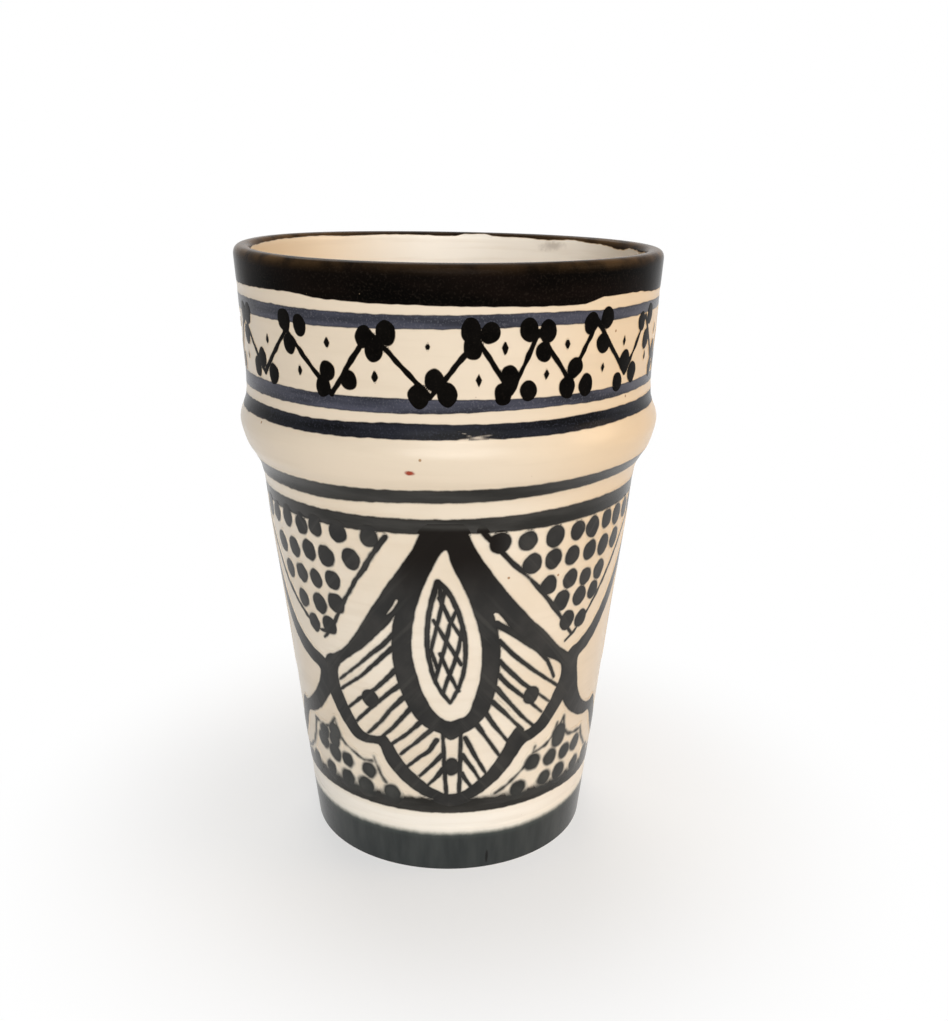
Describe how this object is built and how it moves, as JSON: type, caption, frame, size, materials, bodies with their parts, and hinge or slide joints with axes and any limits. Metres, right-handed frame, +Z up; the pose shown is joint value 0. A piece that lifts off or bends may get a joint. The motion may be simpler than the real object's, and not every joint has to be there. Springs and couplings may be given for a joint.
{
  "type": "ceramic cup",
  "caption": "Hand-thrown ceramic cup without a handle: tapered wall, raised collar, black rim, zigzag frieze and painted palmettes on white glaze, to drink from.",
  "frame": {"origin": "middle of the foot, on the surface the cup stands on", "axes": "+Z up along the cup's axis, the palmette of the picture faces -Y, +X to its right"},
  "size_m": [0.0852, 0.0852, 0.124],
  "materials": {
    "terracotta": "bare fired clay, matt",
    "white_glaze": "warm white glaze, glossy",
    "black_paint": "black brown brushed colour under gloss",
    "blue_paint": "thin blue grey brushed colour under gloss",
    "charcoal_paint": "charcoal brushed colour under gloss, soft edges"
  },
  "bodies": {
    "root": {"clay_body": "terracotta", "inner_glaze": "white_glaze", "outer_glaze": "white_glaze", "rim_band": "black_paint", "frieze_top_band": "blue_paint", "frieze_zigzag": "black_paint", "frieze_bottom_band": "blue_paint", "collar_top_band": "blue_paint", "collar_bottom_band": "charcoal_paint", "panel_top_band": "charcoal_paint", "panel_bottom_band": "charcoal_paint", "foot_band": "charcoal_paint", "palmette_front": "charcoal_paint", "seed_front": "charcoal_paint", "triangle_after_front": "charcoal_paint", "scallop_after_front": "charcoal_paint", "palmette_right": "charcoal_paint", "seed_right": "charcoal_paint", "triangle_after_right": "charcoal_paint", "scallop_after_right": "charcoal_paint", "palmette_back": "charcoal_paint", "seed_back": "charcoal_paint", "triangle_after_back": "charcoal_paint", "scallop_after_back": "charcoal_paint", "palmette_left": "charcoal_paint", "seed_left": "charcoal_paint", "triangle_after_left": "charcoal_paint", "scallop_after_left": "charcoal_paint"}
  },
  "joints": []
}
